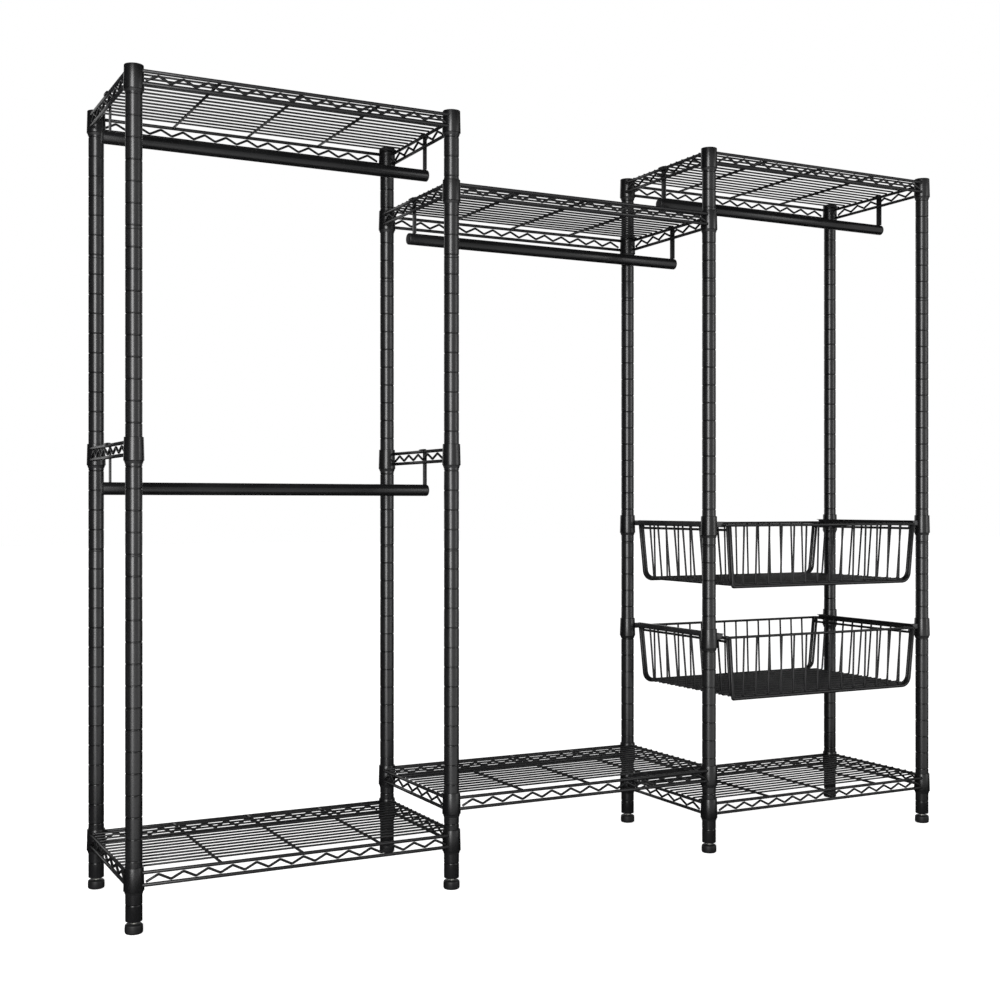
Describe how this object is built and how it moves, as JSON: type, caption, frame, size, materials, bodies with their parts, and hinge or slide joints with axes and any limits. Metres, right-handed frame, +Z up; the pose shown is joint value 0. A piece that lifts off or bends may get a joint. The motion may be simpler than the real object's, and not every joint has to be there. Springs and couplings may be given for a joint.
{
  "type": "clothes rack",
  "caption": "Free-standing black wire clothes rack: round posts carry trussed wire shelves, hanging rods at several heights and pull-out wire baskets.",
  "frame": {"origin": "On the floor under the middle of the rack.", "axes": "+X to the right along the row of bays, with the basket bay at the +X end; -Y is the front, where the baskets pull out; +Z is up."},
  "size_m": [2.428, 0.4631, 1.95],
  "materials": {
    "coated_tube": "satin black powder coat",
    "coated_wire": "satin black powder coat",
    "coated_strip": "satin black powder coat on folded strip",
    "black_plastic": "fine grained",
    "zinc_steel": "bright zinc plated"
  },
  "bodies": {
    "rack": {"foot_inserts": "zinc_steel", "hanging_rod_caps": "black_plastic", "hanging_rod_left_lower": "coated_tube", "hanging_rod_left_upper": "coated_tube", "hanging_rod_middle": "coated_tube", "hanging_rod_right": "coated_tube", "hanging_rod_straps": "coated_strip", "ledge_left_end": "coated_wire", "ledge_left_inner": "coated_wire", "post_caps": "black_plastic", "post_joint_plugs": "zinc_steel", "post_lower_back_1": "coated_tube", "post_lower_back_2": "coated_tube", "post_lower_back_3": "coated_tube", "post_lower_back_4": "coated_tube", "post_lower_front_1": "coated_tube", "post_lower_front_2": "coated_tube", "post_lower_front_3": "coated_tube", "post_lower_front_4": "coated_tube", "post_upper_back_1": "coated_tube", "post_upper_back_2": "coated_tube", "post_upper_back_3": "coated_tube", "post_upper_back_4": "coated_tube", "post_upper_front_1": "coated_tube", "post_upper_front_2": "coated_tube", "post_upper_front_3": "coated_tube", "post_upper_front_4": "coated_tube", "runner_lower_end": "coated_strip", "runner_lower_inner": "coated_strip", "runner_upper_end": "coated_strip", "runner_upper_inner": "coated_strip", "shelf_left_bottom": "coated_wire", "shelf_left_top": "coated_wire", "shelf_middle_bottom": "coated_wire", "shelf_middle_top": "coated_wire", "shelf_right_bottom": "coated_wire", "shelf_right_top": "coated_wire"},
    "basket_upper": {"basket_upper": "coated_wire"},
    "basket_lower": {"basket_lower": "coated_wire"},
    "foot_front_1": {"foot_pad_front_1": "black_plastic", "foot_stud_front_1": "zinc_steel"},
    "foot_front_2": {"foot_pad_front_2": "black_plastic", "foot_stud_front_2": "zinc_steel"},
    "foot_front_3": {"foot_pad_front_3": "black_plastic", "foot_stud_front_3": "zinc_steel"},
    "foot_front_4": {"foot_pad_front_4": "black_plastic", "foot_stud_front_4": "zinc_steel"},
    "foot_back_1": {"foot_pad_back_1": "black_plastic", "foot_stud_back_1": "zinc_steel"},
    "foot_back_2": {"foot_pad_back_2": "black_plastic", "foot_stud_back_2": "zinc_steel"},
    "foot_back_3": {"foot_pad_back_3": "black_plastic", "foot_stud_back_3": "zinc_steel"},
    "foot_back_4": {"foot_pad_back_4": "black_plastic", "foot_stud_back_4": "zinc_steel"}
  },
  "joints": [
    {"name": "basket_upper_slide", "type": "slide", "parent": "rack", "child": "basket_upper", "axis": [0, -1, 0], "range_m": [0, 0.3]},
    {"name": "basket_lower_slide", "type": "slide", "parent": "rack", "child": "basket_lower", "axis": [0, -1, 0], "range_m": [0, 0.3]},
    {"name": "foot_front_1_height", "type": "slide", "parent": "rack", "child": "foot_front_1", "axis": [0, 0, -1], "range_m": [-0.005, 0.015]},
    {"name": "foot_front_2_height", "type": "slide", "parent": "rack", "child": "foot_front_2", "axis": [0, 0, -1], "range_m": [-0.005, 0.015]},
    {"name": "foot_front_3_height", "type": "slide", "parent": "rack", "child": "foot_front_3", "axis": [0, 0, -1], "range_m": [-0.005, 0.015]},
    {"name": "foot_front_4_height", "type": "slide", "parent": "rack", "child": "foot_front_4", "axis": [0, 0, -1], "range_m": [-0.005, 0.015]},
    {"name": "foot_back_1_height", "type": "slide", "parent": "rack", "child": "foot_back_1", "axis": [0, 0, -1], "range_m": [-0.005, 0.015]},
    {"name": "foot_back_2_height", "type": "slide", "parent": "rack", "child": "foot_back_2", "axis": [0, 0, -1], "range_m": [-0.005, 0.015]},
    {"name": "foot_back_3_height", "type": "slide", "parent": "rack", "child": "foot_back_3", "axis": [0, 0, -1], "range_m": [-0.005, 0.015]},
    {"name": "foot_back_4_height", "type": "slide", "parent": "rack", "child": "foot_back_4", "axis": [0, 0, -1], "range_m": [-0.005, 0.015]}
  ]
}
